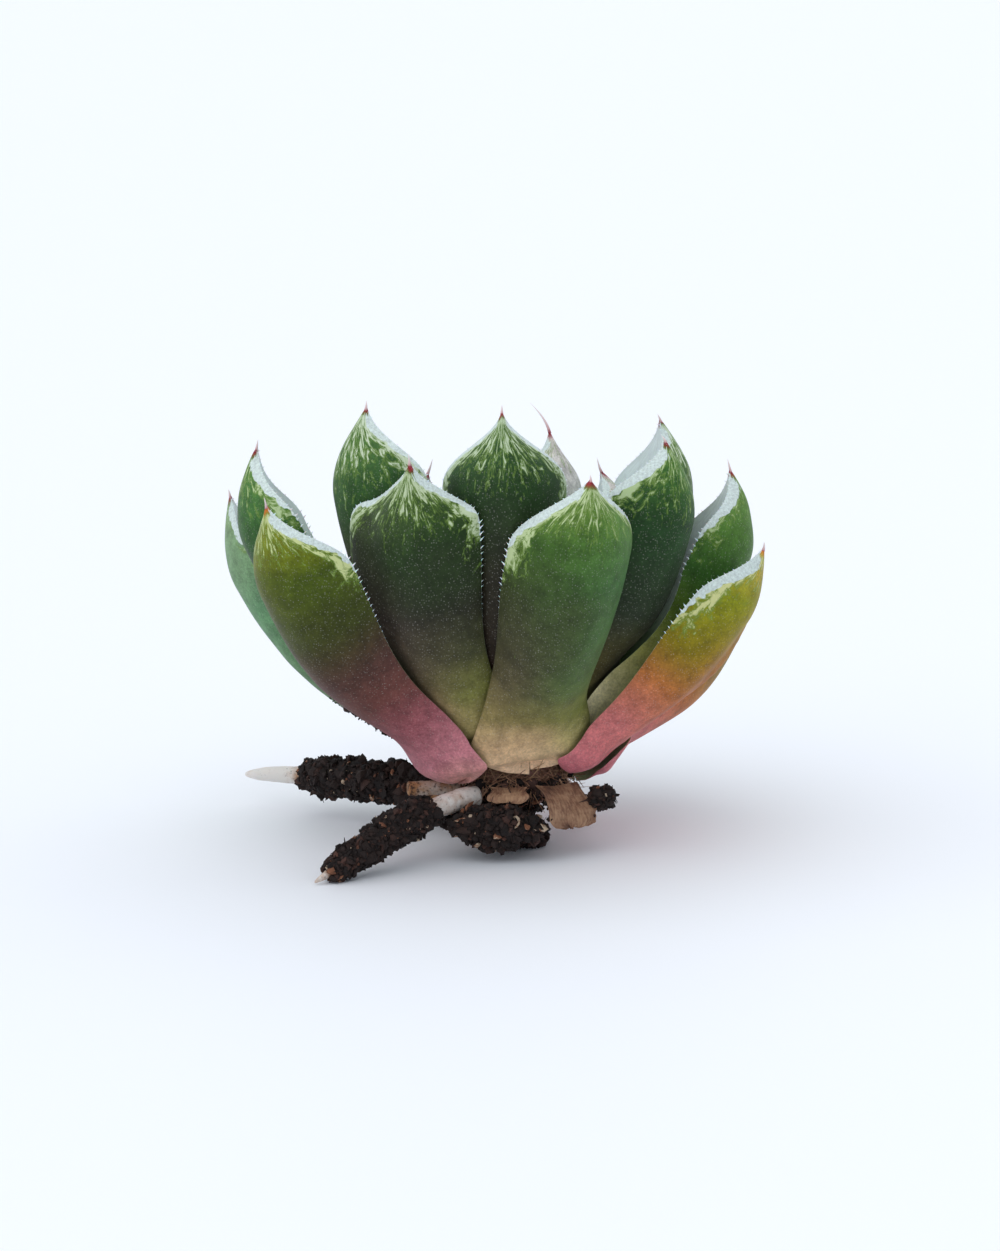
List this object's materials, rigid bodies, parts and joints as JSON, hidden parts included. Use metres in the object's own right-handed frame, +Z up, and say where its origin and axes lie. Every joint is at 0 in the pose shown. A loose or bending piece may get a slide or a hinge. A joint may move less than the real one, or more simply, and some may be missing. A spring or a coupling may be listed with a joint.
{
  "type": "bare-root succulent rosette",
  "caption": "Small windowed succulent rosette with toothed, upswept fleshy leaves, standing unpotted on its short stem stub and soil-crusted roots.",
  "frame": {"origin": "centre of the flat underside of the old stem stub, where the plant stands on a surface", "axes": "+Z up, -Y towards the front of the plant, +X to the right as seen from the front"},
  "size_m": [0.0601, 0.0537, 0.0507],
  "materials": {
    "leaf": "velvety matte green skin, brown and pink towards the base, pale windowed flecks at the tip",
    "stem": "dull pinkish-brown bark",
    "root": "dull, whitish at the tips and brown where soil has stained it",
    "soil": "rough dark crumbs of peat with reddish fibres",
    "dry_leaf": "papery, wrinkled, tan"
  },
  "bodies": {
    "root": {"bud_leaf_1": "leaf", "bud_leaf_2": "leaf", "bud_leaf_3": "leaf", "heart_leaf_1": "leaf", "heart_leaf_2": "leaf", "heart_leaf_3": "leaf", "heart_leaf_4": "leaf", "heart_leaf_5": "leaf", "inner_leaf_1": "leaf", "inner_leaf_2": "leaf", "inner_leaf_3": "leaf", "inner_leaf_4": "leaf", "inner_leaf_5": "leaf", "inner_leaf_6": "leaf", "middle_leaf_1": "leaf", "middle_leaf_2": "leaf", "middle_leaf_3": "leaf", "middle_leaf_4": "leaf", "middle_leaf_5": "leaf", "middle_leaf_6": "leaf", "outer_leaf_1": "leaf", "outer_leaf_2": "leaf", "outer_leaf_3": "leaf", "outer_leaf_4": "leaf", "outer_leaf_5": "leaf", "stem": "stem", "root_left": "root", "root_front": "root", "root_broken": "root", "root_back_left": "root", "root_back_right": "root", "soil_left": "soil", "soil_front": "soil", "soil_collar": "soil", "soil_clump_front": "soil", "soil_clump_right": "soil", "dry_leaf": "dry_leaf", "dry_scale": "dry_leaf"}
  },
  "joints": []
}
